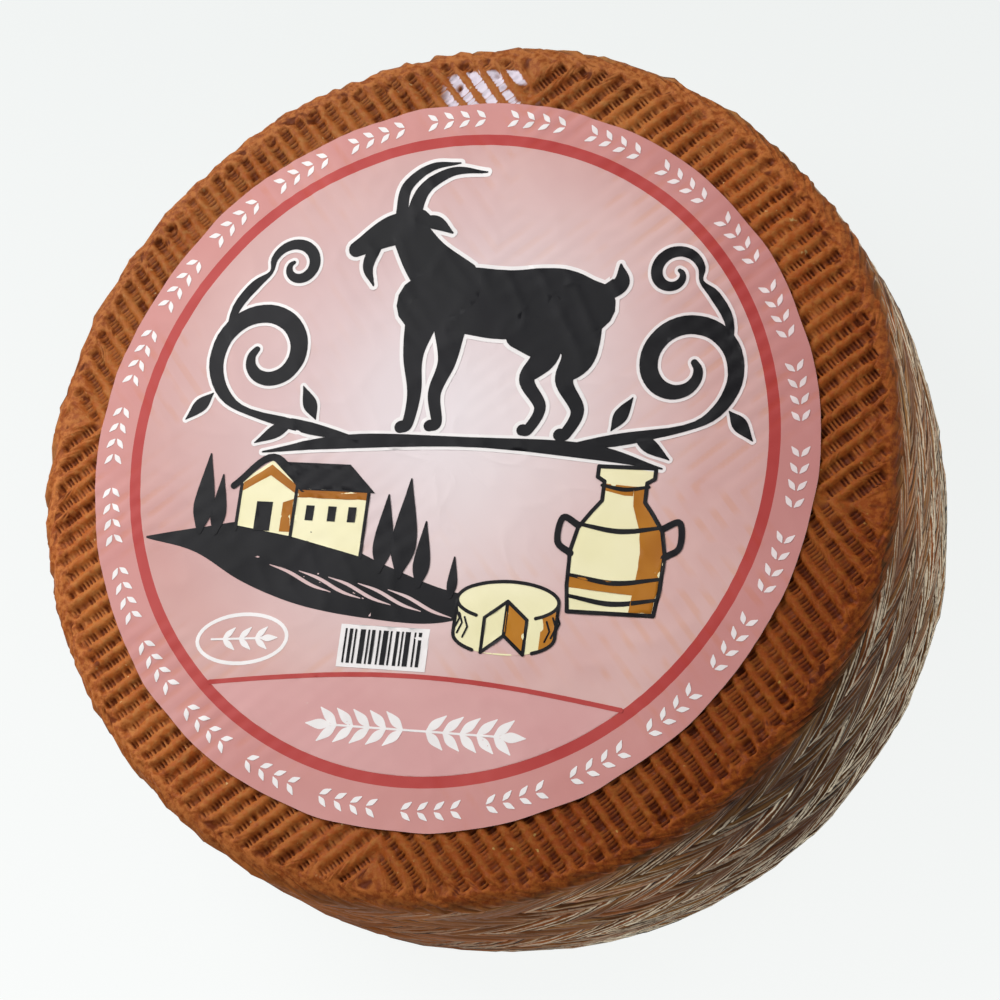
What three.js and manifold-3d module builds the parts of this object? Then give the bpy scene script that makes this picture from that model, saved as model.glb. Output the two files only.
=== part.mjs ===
// A wheel of hard goat's cheese with a round paper label.
// It was pressed in a belt of plaited grass, which leaves rows of slanting strands round its side, and between
// two carved boards, which leave parallel ribs in four quarters on its top and its base.
// Frame: millimetres, +Z up, the origin at the centre of the base, +X towards the right of the label's picture.
import * as THREE from "three";
import { mergeVertices } from "three/addons/utils/BufferGeometryUtils.js";
import Module from "manifold-3d";

// The wheel
const wheelRadius = 105.4; // at the fullest height of the side
const wheelHeight = 77;
const topEdge = 4.4; // radius of the rounded edge round the top
const baseEdge = 8; // and round the base, which has carried the wheel's weight
const topPullIn = 1.8; // how much narrower the side is where it meets each edge
const basePullIn = 2.6;

// The plaited belt's print on the side: rows of slanting strands, the first of them lying on the top edge
const firstRow = 5; // from the top down to the first border between rows
const fullRows = 8; // below it, down to the base
const bundleCount = 46; // bundles of strands round the wheel
const strandSlope = THREE.MathUtils.degToRad(30); // of a strand, from the horizontal
const strandRelief = 0.55; // a bundle's ridge stands this far out, and its valley this far in
const borderDepth = 0.7; // the side is pulled in this far between two rows

// The carved boards' print on the top and the base
const quarterAngle = THREE.MathUtils.degToRad(-3.6); // of the line where the first two quarters meet
const ribPitch = 4.05;
const grooveWidth = 2.1; // at the surface
const grooveFloor = 1.1; // width of its floor
const grooveDepth = 1.7;
const topRibbedRadius = 99.2; // the top's grooves end here, and a smooth rim follows
const baseRibbedRadius = 95; // and the base's here
const quarterGap = 0.4; // uncut cheese between a groove and the line where two quarters meet
const shortestGroove = 3;
const baseBoss = 6; // radius of the flat spot at the centre of the base

// The label
const labelRadius = 87.5;
const labelCentre = new THREE.Vector2(-2.7, 1.0);
const labelThickness = 0.4;
const labelGap = 0.3; // to the ribs' tops, under the paper
const labelSides = 96;
const bedRadius = 81; // the grooves of the top start here, a little way under the label's edge

const rowHeight = (wheelHeight - firstRow) / fullRows;

const wasm = await Module();
wasm.setup();

// A closed geometry as a solid that can be joined and cut
function solidFrom(geometry) {
  const bare = geometry.clone();
  bare.deleteAttribute("normal");
  bare.deleteAttribute("uv");
  const merged = mergeVertices(bare, 1e-4);
  return new wasm.Manifold(
    new wasm.Mesh({
      numProp: 3,
      vertProperties: new Float32Array(merged.attributes.position.array),
      triVerts: new Uint32Array(merged.index.array),
    }),
  );
}

function geometryFrom(solid) {
  const mesh = solid.getMesh();
  const geometry = new THREE.BufferGeometry();
  geometry.setAttribute("position", new THREE.BufferAttribute(mesh.vertProperties, mesh.numProp));
  geometry.setIndex(new THREE.BufferAttribute(mesh.triVerts, 1));
  geometry.computeVertexNormals();
  return geometry;
}

// The side's radius at a height, without the print: fullest at half height, falling as a parabola to both edges
function sideRadius(z) {
  const fromMiddle = (2 * z) / wheelHeight - 1;
  const pullIn = fromMiddle > 0 ? topPullIn : basePullIn;
  return wheelRadius - pullIn * fromMiddle ** 2;
}

// A quarter circle of an edge, from the flat face to the side, as points (radius, height)
function edgeArc(edge, face, side, steps) {
  const centreRadius = side - edge;
  const centreHeight = face > 0 ? face - edge : edge;
  const sense = face > 0 ? 1 : -1;
  const points = [];
  for (let i = 0; i <= steps; i++) {
    const turn = (Math.PI / 2) * (i / steps);
    points.push(
      new THREE.Vector2(
        centreRadius + edge * Math.sin(turn),
        centreHeight + sense * edge * Math.cos(turn),
      ),
    );
  }
  return points;
}

// The profile from the base's centre, up the side, to the top's centre
function wheelProfile() {
  const base = edgeArc(baseEdge, 0, sideRadius(baseEdge), 4);
  const top = edgeArc(topEdge, wheelHeight, sideRadius(wheelHeight - topEdge), 3);
  const side = [];
  for (let half = 2; half < 2 * fullRows; half++) {
    const z = (half * rowHeight) / 2;
    side.push(new THREE.Vector2(sideRadius(z), z));
  }
  return [new THREE.Vector2(0, 0), ...base, ...side, ...top.reverse(), new THREE.Vector2(0, wheelHeight)];
}

// How many rows lie above a height, counted so that it is whole on each border between rows
function rowsAbove(z) {
  return 1 + (wheelHeight - firstRow - z) / rowHeight;
}

// How far the strands have moved round the wheel at a height: a zigzag that turns back at each row's border
function strandTurn(z) {
  const zigzag = 1 - Math.abs((rowsAbove(z) % 2) - 1);
  return (zigzag * rowHeight) / Math.tan(strandSlope) / wheelRadius;
}

// How far the print moves the side out at a height, on a bundle's ridge or in the valley beside it
function printRelief(z, onRidge) {
  const border = Math.abs(Math.cos(Math.PI * rowsAbove(z))) ** 4;
  const nearEdge = Math.min(1, Math.max(0, Math.min(z, wheelHeight - z) - 1) / topEdge);
  return nearEdge * ((onRidge ? strandRelief : -strandRelief) - borderDepth * border);
}

// The body turned from the profile, its columns of points moved along the strands and in and out by the print
function wheelBody() {
  const profile = wheelProfile();
  const columns = 2 * bundleCount;
  const lathe = new THREE.LatheGeometry(profile, columns);
  const place = lathe.attributes.position;
  for (let i = 0; i < place.count; i++) {
    const column = Math.floor(i / profile.length) % columns;
    const { x: radius, y: z } = profile[i % profile.length];
    const angle = (column / columns) * 2 * Math.PI + strandTurn(z);
    const printed = radius > 0 ? radius + printRelief(z, column % 2 === 0) : 0;
    place.setXYZ(i, printed * Math.cos(angle), printed * Math.sin(angle), z);
  }
  return solidFrom(lathe);
}

// A cutter for one groove, its mouth at the height and opening along up (+1 or -1), between two distances
// along the quarter's middle line, at an offset beside that line
function grooveCutter(middleAngle, offset, from, to, height, up) {
  const clear = 0.6; // it stands this far out of the face
  const widen = (grooveWidth - grooveFloor) / 2 / grooveDepth;
  const halfFloor = grooveFloor / 2;
  const halfMouth = grooveWidth / 2 + widen * clear;
  const section = new THREE.Shape([
    new THREE.Vector2(-halfFloor, -grooveDepth),
    new THREE.Vector2(halfFloor, -grooveDepth),
    new THREE.Vector2(halfMouth, clear),
    new THREE.Vector2(-halfMouth, clear),
  ]);
  const bar = new THREE.ExtrudeGeometry(section, { depth: to - from, bevelEnabled: false });
  const along = new THREE.Vector3(Math.cos(middleAngle), Math.sin(middleAngle), 0);
  const outward = new THREE.Vector3(0, 0, up);
  const across = outward.clone().cross(along);
  const beside = new THREE.Vector3(-along.y, along.x, 0);
  const placing = new THREE.Matrix4().makeBasis(across, outward, along);
  placing.setPosition(
    along.clone().multiplyScalar(from).addScaledVector(beside, offset).setZ(height),
  );
  return solidFrom(bar.applyMatrix4(placing));
}

// The grooves of one face: in each quarter they run side by side from the quarter's border to the smooth rim,
// parallel to its middle line, between an inner and an outer radius
function faceGrooves(height, up, innerRadius, outerRadius) {
  const cutters = [];
  const reach = Math.floor((outerRadius * Math.SQRT1_2) / ribPitch);
  for (let quarter = 0; quarter < 4; quarter++) {
    const middleAngle = quarterAngle + (quarter + 0.5) * (Math.PI / 2);
    for (let k = -reach; k <= reach; k++) {
      const offset = k * ribPitch;
      const border = Math.abs(offset) + quarterGap + grooveWidth / 2;
      const inner = Math.sqrt(Math.max(0, innerRadius ** 2 - offset ** 2));
      const from = Math.max(border, inner);
      const to = Math.sqrt(outerRadius ** 2 - offset ** 2);
      if (to - from > shortestGroove) {
        cutters.push(grooveCutter(middleAngle, offset, from, to, height, up));
      }
    }
  }
  return wasm.Manifold.union(cutters);
}

function cheeseWheel() {
  const solid = wheelBody()
    .subtract(faceGrooves(wheelHeight, 1, bedRadius, topRibbedRadius))
    .subtract(faceGrooves(0, -1, baseBoss, baseRibbedRadius));
  const rind = new THREE.MeshStandardMaterial({ color: 0x8a4a1c, roughness: 0.5, metalness: 0 });
  const mesh = new THREE.Mesh(geometryFrom(solid), rind);
  mesh.name = "cheese_wheel";
  return mesh;
}

function paperLabel() {
  const disc = new THREE.CylinderGeometry(labelRadius, labelRadius, labelThickness, labelSides);
  disc.rotateX(Math.PI / 2);
  const paper = new THREE.MeshStandardMaterial({ color: 0xd9a3a2, roughness: 0.35, metalness: 0 });
  const mesh = new THREE.Mesh(disc, paper);
  mesh.name = "paper_label";
  mesh.position.set(labelCentre.x, labelCentre.y, wheelHeight + labelGap + labelThickness / 2);
  return mesh;
}

const cheese = new THREE.Group();
cheese.add(cheeseWheel(), paperLabel());

export default cheese;
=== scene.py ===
# %% [markdown]
# # A wheel of hard goat's cheese
#
# The wheel lies flat on a pale table. It was pressed between two carved boards, which left ribs in four
# quarters on the top and the base, and inside a belt of plaited grass, which left rows of slanting strands
# round its side. A round printed paper label covers the middle of the top.
#
# Lengths in this notebook are millimetres until a mesh is made, because that is how such a wheel is measured.

# %% Load the frame
import math

import bmesh
import bpy
import numpy as np
from mathutils import Matrix, Vector
from mathutils.geometry import delaunay_2d_cdt


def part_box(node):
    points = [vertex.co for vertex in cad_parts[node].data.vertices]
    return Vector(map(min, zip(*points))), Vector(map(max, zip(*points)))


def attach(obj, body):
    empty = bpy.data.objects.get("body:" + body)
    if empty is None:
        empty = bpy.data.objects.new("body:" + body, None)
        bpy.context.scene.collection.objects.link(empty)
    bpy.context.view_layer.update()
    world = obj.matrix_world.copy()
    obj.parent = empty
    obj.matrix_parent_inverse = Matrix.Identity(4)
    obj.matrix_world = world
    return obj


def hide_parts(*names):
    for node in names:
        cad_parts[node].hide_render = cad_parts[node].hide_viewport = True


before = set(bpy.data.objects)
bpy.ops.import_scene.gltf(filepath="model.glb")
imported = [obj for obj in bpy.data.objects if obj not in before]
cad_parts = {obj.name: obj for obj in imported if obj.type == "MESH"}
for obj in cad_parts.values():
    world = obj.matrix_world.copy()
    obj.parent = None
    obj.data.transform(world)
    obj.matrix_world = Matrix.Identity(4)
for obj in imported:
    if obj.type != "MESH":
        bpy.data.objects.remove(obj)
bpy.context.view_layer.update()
MM = 0.001

wheel_low, wheel_high = (np.array(corner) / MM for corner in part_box("cheese_wheel"))
label_low, label_high = (np.array(corner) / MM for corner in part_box("paper_label"))
wheel_height = wheel_high[2] - wheel_low[2]
label_centre = (label_low + label_high)[:2] / 2
label_radius = (label_high[0] - label_low[0]) / 2
print(f"wheel {wheel_height:.1f} mm high, label {2 * label_radius:.1f} mm across at {label_centre.round(1)}")

# %% [markdown]
# ## The camera
#
# The camera stands 0.67 m from the label and looks down on it, 25 degrees off the vertical, with a long lens.
# It is turned about its own axis, so that the label's picture stands nearly upright in the frame. The place
# came from fitting the label's round outline, and the wheel's, in perspective. It is made before the pieces,
# because what it sees decides how finely each of them has to be made.

# %% Place the camera
CAMERA_DISTANCE = 673.75
CAMERA_TILT = math.radians(25.25)  # from straight down
CAMERA_SIDE = math.radians(-38.3)  # the direction it leans to, from the label's right
CAMERA_ROLL = math.radians(46.23)
AIM_TOWARDS_CAMERA = 18.0  # the point it looks at, measured from the label's centre
AIM_ACROSS = 1.4
LENS = 105.5  # on a sensor 36 mm wide


def unit(vector):
    """The vector divided by its own length."""
    return vector / np.linalg.norm(vector)


up = np.array([0.0, 0.0, 1.0])
towards_camera = np.array([math.cos(CAMERA_SIDE), math.sin(CAMERA_SIDE), 0.0])
across_camera = np.cross(up, towards_camera)
label_middle = np.array([*label_centre, label_high[2]])
lean = towards_camera * math.sin(CAMERA_TILT) + up * math.cos(CAMERA_TILT)
camera_place = label_middle + CAMERA_DISTANCE * lean
aim = label_middle + AIM_TOWARDS_CAMERA * towards_camera + AIM_ACROSS * across_camera

looking = unit(aim - camera_place)
level_right = unit(np.cross(looking, up))
level_down = np.cross(looking, level_right)
picture_right = level_right * math.cos(CAMERA_ROLL) + level_down * math.sin(CAMERA_ROLL)
picture_up = level_right * math.sin(CAMERA_ROLL) - level_down * math.cos(CAMERA_ROLL)

camera = bpy.data.objects.new("camera", bpy.data.cameras.new("camera"))
camera.data.lens = LENS
camera.data.sensor_width = 36.0
camera.data.clip_start = 0.05
placing = Matrix.Identity(4)
for row in range(3):
    placing[row][:] = [picture_right[row], picture_up[row], -looking[row], camera_place[row] * MM]
camera.matrix_world = placing
bpy.context.scene.collection.objects.link(camera)
bpy.context.scene.camera = camera
print("camera at", camera_place.round(1), "mm")

# %% [markdown]
# ## Small helpers
#
# A mesh here is a grid: rows of points, each row closed into a ring, with a point in the middle of the first
# ring and of the last. Whole arrays are worked out with numpy and handed to Blender in one call. Where rows
# fall together, because a rib runs out, the points are merged afterwards, so the surface stays closed.


# %% Helpers for arrays
def ease(t):
    """A smooth step from 0 to 1: 3t² - 2t³ between t = 0 and t = 1, level outside."""
    t = np.clip(t, 0.0, 1.0)
    return t * t * (3.0 - 2.0 * t)


def soft_noise(x, y, seed, wrap=256):
    """Smooth random values between -1 and 1. Each whole (x, y) has a random number, and the values between
    are blended with the smooth step. x repeats after wrap cells, so it can run round the wheel."""
    table = np.random.default_rng(seed).uniform(-1.0, 1.0, (wrap, 256))
    left, low = np.floor(x).astype(int), np.floor(y).astype(int)
    right, high = (left + 1) % wrap, (low + 1) % 256
    left_share, low_share = 1 - ease(x - left), 1 - ease(y - low)
    left, low = left % wrap, low % 256
    lower = table[left, low] * left_share + table[right, low] * (1 - left_share)
    upper = table[left, high] * left_share + table[right, high] * (1 - left_share)
    return lower * low_share + upper * (1 - low_share)


def random_for(keys, seed, low=0.0, high=1.0):
    """One random number for each whole number in keys, the same wherever that number comes again."""
    table = np.random.default_rng(seed).uniform(low, high, 4096)
    return table[np.asarray(keys).astype(int) % 4096]


# %% Helpers for meshes
def mesh_object(name, points, faces, node):
    """A piece from points in millimetres and faces as lists of point numbers. It rides on the only body,
    and stands for the CAD node."""
    mesh = bpy.data.meshes.new(name)
    mesh.from_pydata((np.asarray(points) * MM).tolist(), [], [list(f) for f in faces])
    mesh.update()
    piece = bpy.data.objects.new(name, mesh)
    bpy.context.scene.collection.objects.link(piece)
    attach(piece, "root")
    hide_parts(node)
    mesh.polygons.foreach_set("use_smooth", [True] * len(mesh.polygons))
    return piece


def ring_piece(name, grid, hubs, first_ring, last_ring, node):
    """A closed piece from a grid of points whose rows are rings, from the middle of its top outwards and
    back below it. A fan of triangles joins the first hub to the first row's columns in first_ring, and
    another joins the second hub to the last row's columns in last_ring."""
    rows, columns = grid.shape[:2]
    row, here = np.meshgrid(np.arange(rows - 1) * columns, np.arange(columns), indexing="ij")
    after = (here + 1) % columns
    corners = [row + columns + here, row + columns + after, row + after, row + here]
    faces = np.stack(corners, axis=-1).reshape(-1, 4).tolist()
    last_ring = last_ring + (rows - 1) * columns
    faces += [[a, b, rows * columns] for a, b in zip(first_ring, np.roll(first_ring, -1))]
    faces += [[b, a, rows * columns + 1] for a, b in zip(last_ring, np.roll(last_ring, -1))]
    return mesh_object(name, np.vstack([grid.reshape(-1, 3), hubs]), faces, node)


def add_attribute(piece, name, values):
    """Stores one number, or one vector, for each point of the piece under a name that a material can read."""
    values = np.asarray(values, dtype=np.float32)
    kind, key = ("FLOAT_VECTOR", "vector") if values.ndim == 2 else ("FLOAT", "value")
    layer = piece.data.attributes.new(name, kind, "POINT")
    layer.data.foreach_set(key, values.ravel())


def weld(piece, distance=0.001):
    """Merges points closer than distance millimetres, and drops the faces that this leaves without area."""
    work = bmesh.new()
    work.from_mesh(piece.data)
    bmesh.ops.remove_doubles(work, verts=work.verts, dist=distance * MM)
    bmesh.ops.dissolve_degenerate(work, edges=work.edges, dist=distance * MM)
    work.to_mesh(piece.data)
    work.free()


def count_triangles(piece):
    """How many triangles the piece's faces make."""
    return sum(len(face.vertices) - 2 for face in piece.data.polygons)


# %% [markdown]
# ## The wheel's outline
#
# The profile is the CAD wheel's: a flat face, a quarter circle round the edge, and a side that is fullest at
# half height. The print on the side is laid out in rows, so a place on the side is given by its row number:
# 1 is the first border between rows, 5 mm below the top, and one row is 9 mm. Round the two edges the row
# number goes on by the distance along the surface, and a little slower than that round the top's.

# %% Profile of the side by row number
WHEEL_RADIUS = (wheel_high[0] - wheel_low[0] - 1.1) / 2  # the box also holds the ridges of the print
TOP_EDGE = 4.4
BASE_EDGE = 8.0
TOP_PULL_IN = 1.8
BASE_PULL_IN = 2.6
FIRST_ROW = 5.0
FULL_ROWS = 8
FACE_RADIUS = 100.6  # the ribbed faces' grids end here, a little way down the rounded edge
TOP_EDGE_PACE = 0.75  # how fast rows go by round the top's edge, where 1 is their pace down the side

row_height = (wheel_height - FIRST_ROW) / FULL_ROWS


def side_radius(z):
    """Fullest at half height, and falling as a parabola to both edges."""
    from_middle = 2 * z / wheel_height - 1
    return WHEEL_RADIUS - np.where(from_middle > 0, TOP_PULL_IN, BASE_PULL_IN) * from_middle**2


def row_at(z):
    """The row number at a height."""
    return 1 + (wheel_height - FIRST_ROW - z) / row_height


top_side = float(side_radius(wheel_height - TOP_EDGE))
base_side = float(side_radius(BASE_EDGE))
top_flat = top_side - TOP_EDGE
base_flat = base_side - BASE_EDGE
top_lean = math.asin((FACE_RADIUS - top_flat) / TOP_EDGE)  # how far round the edge the grid's border is
base_lean = math.asin((FACE_RADIUS - base_flat) / BASE_EDGE)
row_side_starts = row_at(wheel_height - TOP_EDGE)
row_side_ends = row_at(BASE_EDGE)
row_first = row_side_starts - (math.pi / 2 - top_lean) * TOP_EDGE / row_height * TOP_EDGE_PACE
row_last = row_side_ends + (math.pi / 2 - base_lean) * BASE_EDGE / row_height


def side_profile(rows):
    """Radius, height and the outward direction (radius part, height part) at row numbers: a quarter circle,
    then the side, then a quarter circle."""
    top_turn = top_lean + (math.pi / 2 - top_lean) * (rows - row_first) / (row_side_starts - row_first)
    base_turn = (math.pi / 2 - base_lean) * (rows - row_side_ends) / (row_last - row_side_ends)
    z = wheel_height - FIRST_ROW - (rows - 1) * row_height
    on_top, on_base = rows < row_side_starts, rows > row_side_ends
    radius = np.where(on_top, top_flat + TOP_EDGE * np.sin(top_turn), side_radius(z))
    radius = np.where(on_base, base_flat + BASE_EDGE * np.cos(base_turn), radius)
    height = np.where(on_top, wheel_height - TOP_EDGE + TOP_EDGE * np.cos(top_turn), z)
    height = np.where(on_base, BASE_EDGE - BASE_EDGE * np.sin(base_turn), height)
    out = np.where(on_top, np.sin(top_turn), np.where(on_base, np.cos(base_turn), 1.0))
    rise = np.where(on_top, np.cos(top_turn), np.where(on_base, -np.sin(base_turn), 0.0))
    return radius, height, out, rise


def face_height(radius):
    """How far the top lies below its flat level at a radius: nothing, then the rounded edge."""
    past = np.clip(radius - top_flat, 0, TOP_EDGE)
    return np.sqrt(TOP_EDGE**2 - past**2) - TOP_EDGE


def base_rise(radius):
    """How far the base has risen off the table at a radius, round its own edge."""
    past = np.clip(radius - base_flat, 0, BASE_EDGE)
    return BASE_EDGE - np.sqrt(BASE_EDGE**2 - past**2)


print(f"side from row {row_first:.2f} to row {row_last:.2f}, fullest radius {WHEEL_RADIUS:.1f} mm")

# %% [markdown]
# ## Columns that follow the ribs
#
# A square or a polar grid would cut across the ribs and blur them. Each quarter of the top therefore has
# its own lines, parallel to the quarter's middle line: eight to a rib pitch, close together down the walls of
# the grooves. The lines of two quarters meet on the border between them. The same 1104 columns then run down
# the side, where eight of them make one blade of grass and 24 make one strand of the plait.

# %% Columns of the grid
RIB_PITCH = 4.05
QUARTER_ANGLE = math.radians(-3.6)  # of the line where the first two quarters meet
ACROSS_ONE_RIB = np.array([0.0, 0.45, 0.95, 1.35, 2.025, 2.7, 3.1, 3.6])  # from a groove's middle line
RIBS_IN_HALF = 17

half_lines = (np.arange(RIBS_IN_HALF)[:, None] * RIB_PITCH + ACROSS_ONE_RIB).ravel()
half_lines = np.append(half_lines, RIBS_IN_HALF * RIB_PITCH + ACROSS_ONE_RIB[:2])
corner_line = FACE_RADIUS / math.sqrt(2)
quarter_lines = np.concatenate([[-corner_line], -half_lines[:0:-1], half_lines])
quarter = np.repeat(np.arange(4), len(quarter_lines))
columns = len(quarter)

beside = np.tile(quarter_lines, 4)  # each column's distance beside its quarter's middle line
size_beside = np.abs(beside)
groove = np.rint(beside / RIB_PITCH)  # the number of the nearest groove, 0 on the quarter's middle line
groove_middle = groove * RIB_PITCH
from_groove = np.abs(beside - groove_middle)
has_groove = np.abs(groove) < RIBS_IN_HALF
groove_key = groove + 40 * quarter + 20  # one whole number for each groove of the wheel
middle_angle = QUARTER_ANGLE + (quarter + 0.5) * math.pi / 2
along_x, along_y = np.cos(middle_angle), np.sin(middle_angle)
print(columns, "columns,", len(quarter_lines), "in a quarter")


def on_face(along, sideways):
    """x and y of the points at a distance along each column's quarter's middle line, and beside it."""
    return along * along_x - sideways * along_y, along * along_y + sideways * along_x


def half_chord(radius, offset):
    """Half the length of a circle's chord that lies offset from the centre, and 0 outside the circle."""
    return np.sqrt(np.maximum(radius**2 - offset**2, 0))


# %% [markdown]
# ## Ribs on the top
#
# The board's grooves were cut across their length, so the cheese rose into them as smooth ribs, and what lies
# between the ribs is a row of small pits with thin bridges, like a ladder. Each groove starts where two
# quarters meet, or under the label, and stops short of the rim. A row of points is nearly half a millimetre
# on from the last, and every other row is a bridge. Pits and walls are a little uneven, as pressed curd is,
# and a few grooves are partly filled with a white bloom at one place.

# %% Rows of the top
GRID_START = 81.5  # under the label, whose edge is 84 to 91 mm from the wheel's axis
ROW_STEP = 0.46
ROWS_TO_A_PIT = 2
GROOVE_DEPTH = 1.8
GROOVE_END = 100.2
BORDER_DEPTH = 0.55  # of the full depth, where two quarters' grooves meet
GROOVE_FLOOR = 0.5  # half the width of a groove's floor
GROOVE_WALL = 0.85  # and the width of its wall
WIDER_FAR_OFF = 0.12  # added to the floor on the side away from the camera, where the board pressed harder
WIDER_ON_RIGHT = 0.2  # and at the right of the picture, where crumbs have broken out of the grooves
BLOOM_PLACE = (-4.0, 92.0)  # where the white bloom fills the grooves
BLOOM_REACH = 12.0

groove_start = np.maximum(np.abs(groove_middle) + 1.55, half_chord(GRID_START, groove_middle) + 1.2)
grid_start = np.maximum(size_beside, half_chord(GRID_START, beside))
grid_end = half_chord(FACE_RADIUS, beside)
start = groove_start + ROW_STEP * random_for(groove_key, 3)
start = np.where(from_groove > 2.0, (np.roll(start, 1) + np.roll(start, -1)) / 2, start)
steps = int(np.ceil(np.max(grid_end - start) / ROW_STEP)) + 1
along = np.vstack([grid_start, start + ROW_STEP * np.arange(steps)[:, None]])
along = np.clip(along, grid_start, grid_end)  # rows past the grid's end fall together there

row_number = np.arange(len(along))[:, None]
is_bridge = (row_number % ROWS_TO_A_PIT) == 0
pit_key = groove_key * 64 + row_number // ROWS_TO_A_PIT
groove_end = half_chord(GROOVE_END, groove_middle) - random_for(groove_key, 5, 0.0, 0.9)
groove_end = np.minimum(groove_end, grid_end)
near_border = ease((along - np.abs(groove_middle) - 0.6) / 2.2)
off_border = ease((along - size_beside) / 2.0)
meets_border = np.abs(groove_middle) > GRID_START / math.sqrt(2)
under_label = ease((along - groove_start + 0.8) / 0.8)
begins = np.where(meets_border, BORDER_DEPTH + (1 - BORDER_DEPTH) * near_border, under_label)
ends = ease((groove_end - along) / 0.55)

# %% Height of the top
TOP_SINKS = 0.12  # under the CAD wheel's top
CREST_RISE = 0.12  # of the middle of a rib, back to that level
RIM_LUMPS = 0.42

top_x, top_y = on_face(along, beside)
bloom = ease(1.3 - np.hypot(top_x - BLOOM_PLACE[0], top_y - BLOOM_PLACE[1]) / BLOOM_REACH)
bloom = bloom * ease(0.8 + 0.8 * soft_noise(top_x / 3, top_y / 3, 21))
far_off = ease(-(top_x * towards_camera[0] + top_y * towards_camera[1]) / 70)
on_right = ease((0.9 * top_x - 0.44 * top_y - 35) / 45)
floor_width = GROOVE_FLOOR + WIDER_FAR_OFF * far_off + WIDER_ON_RIGHT * on_right
bridge_depth = 0.35 + (random_for(pit_key, 8, 0.02, 0.68) - 0.35) * off_border
pit_depth = np.where(is_bridge, bridge_depth, 1 - 0.5 * random_for(pit_key, 7) ** 2 * off_border)
shallow = ease(0.3 + soft_noise(top_x / 6, top_y / 6, 22))
groove_strength = 1 - (0.15 * random_for(groove_key, 9) + 0.25 * shallow) * off_border
narrow = 1 + 0.16 * soft_noise(top_x / 1.9, top_y / 1.9, 11)
wall = 1 - ease((from_groove * narrow - floor_width) / GROOVE_WALL)
hollow = wall * pit_depth * groove_strength * begins * ends * has_groove

crumb = soft_noise(top_x / 1.1, top_y / 1.1, 12) + 0.6 * soft_noise(top_x / 0.55, top_y / 0.55, 13)
swell = soft_noise(top_x / 9, top_y / 9, 14)
crest = CREST_RISE * ease((from_groove - 1.2) / 0.8) * off_border * ends
wobble = 0.2 * soft_noise(top_x / 4, top_y / 4, 15) * off_border * (1 - ease((along - groove_end + 1) / 1.5))
top_x, top_y = on_face(along, beside + wobble)
top_radius = np.hypot(top_x, top_y)
top_z = wheel_height + face_height(top_radius) - TOP_SINKS
crumbly = 0.085 + 0.1 * ease((top_radius - 96) / 4)
top_z = top_z + crest + crumbly * crumb + 0.14 * swell * ease((top_radius - label_radius) / 6)
rim_lumps = soft_noise(top_x / 2.0, top_y / 2.0, 17) + 0.7 * soft_noise(top_x / 1.1, top_y / 1.1, 18)
rim_lumps = rim_lumps * ease((top_radius - 94) / 3) * (1 - hollow)
top_z = top_z + RIM_LUMPS * rim_lumps
top_z = top_z - GROOVE_DEPTH * hollow * (1 - 0.7 * bloom)
bloom = bloom * ease(hollow / 0.1) * (1 - ease((top_radius - 96.5) / 1.5))
# Between the rim's lumps the hollow rises too, so that the material paints shade in those dips.
hollow = np.maximum(hollow, -1.1 * rim_lumps - 0.35)
print("top rows:", len(along), "deepest pit:", round(float(wheel_height - top_z.min()), 2), "mm")

# %% [markdown]
# ## Ribs on the base
#
# The base carries the same ribs. It is seen only when the wheel is turned over, so a row of points there is
# placed where the groove starts and ends, and a few between.

# %% Rows and height of the base
BASE_BOSS = 6.0  # radius of the flat spot in the middle
BASE_GROOVE_END = 95.0
BASE_DEPTH = 1.5

base_start = np.maximum(size_beside, half_chord(BASE_BOSS, beside))
first_cut = np.maximum(np.abs(groove_middle) + 0.6, half_chord(BASE_BOSS, groove_middle))
last_cut = half_chord(BASE_GROOVE_END, groove_middle)
has_base_groove = last_cut - first_cut > 4.0
last_cut = np.where(has_base_groove, last_cut, first_cut + 2.0)
cut_length = last_cut - first_cut - 2.0
cuts = [first_cut + 1.0 + cut_length * share for share in (0.7, 0.35, 0.0)]
base_along = np.array([grid_end, last_cut, last_cut - 0.9, *cuts, base_start])
base_along = np.clip(base_along, base_start, grid_end)
base_x, base_y = on_face(base_along, beside)
base_hollow = np.zeros_like(base_along)
base_hollow[2:-1] = (1 - ease((from_groove - 0.42) / 0.85)) * has_base_groove
base_radius = np.hypot(base_x, base_y)
base_z = base_rise(base_radius) + BASE_DEPTH * base_hollow
base_z = base_z + 0.05 * (1 - base_hollow) * (1 + soft_noise(base_x / 8, base_y / 8, 16))

# %% [markdown]
# ## The plait on the side
#
# The belt was plaited from strands of three blades of grass each. In every row the strands slant the other
# way, so a strand runs on as a zigzag from top to base. The columns of the grid run along the strands: over
# one row they move 34 columns round the wheel, which is a slant of 24 degrees. The relief then needs only the
# column number: a ridge for each blade, a swelling for each strand, a groove along every border between rows,
# and chance differences of blade and strand, so that no two are alike.

# %% Rows of the side
COLUMNS_TO_A_BLADE = 8
BLADES_TO_A_STRAND = 3
COLUMNS_A_ROW_TURNS = 34
COLUMNS_AT_TOP = 8  # of the turn, already made where the top's grid ends
BLADE_RELIEF = 0.45
STRAND_RELIEF = 0.4
ROW_BORDER_DEPTH = 0.5
SEAM_ANGLE = math.radians(-45.5)  # where the two ends of the belt overlapped
BLADE_WANDER = 0.008  # radians that a blade strays from its even place
ROW_WANDER = 1.3  # a row of the plait rises and falls by up to this much round the wheel
SIDE_SET_BACK = 0.6  # the middle of the relief lies this far in, so that its crests meet the outline
OFF_CENTRE = 0.5  # the belt pressed the side this far off the middle of the top
OFF_CENTRE_TO = math.radians(160)
# Where the side stands out or lies in: direction from the label's right, half width, both in degrees, and
# millimetres outwards
UNEVEN_PLACES = (
    (5, 10, -1.0),
    (32, 9, 1.1),
    (80, 13, 0.75),
    (133, 24, -0.75),
    (-142, 17, -1.05),
    (-103, 10, 1.0),
    (-42, 8, 0.5),
)

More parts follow.
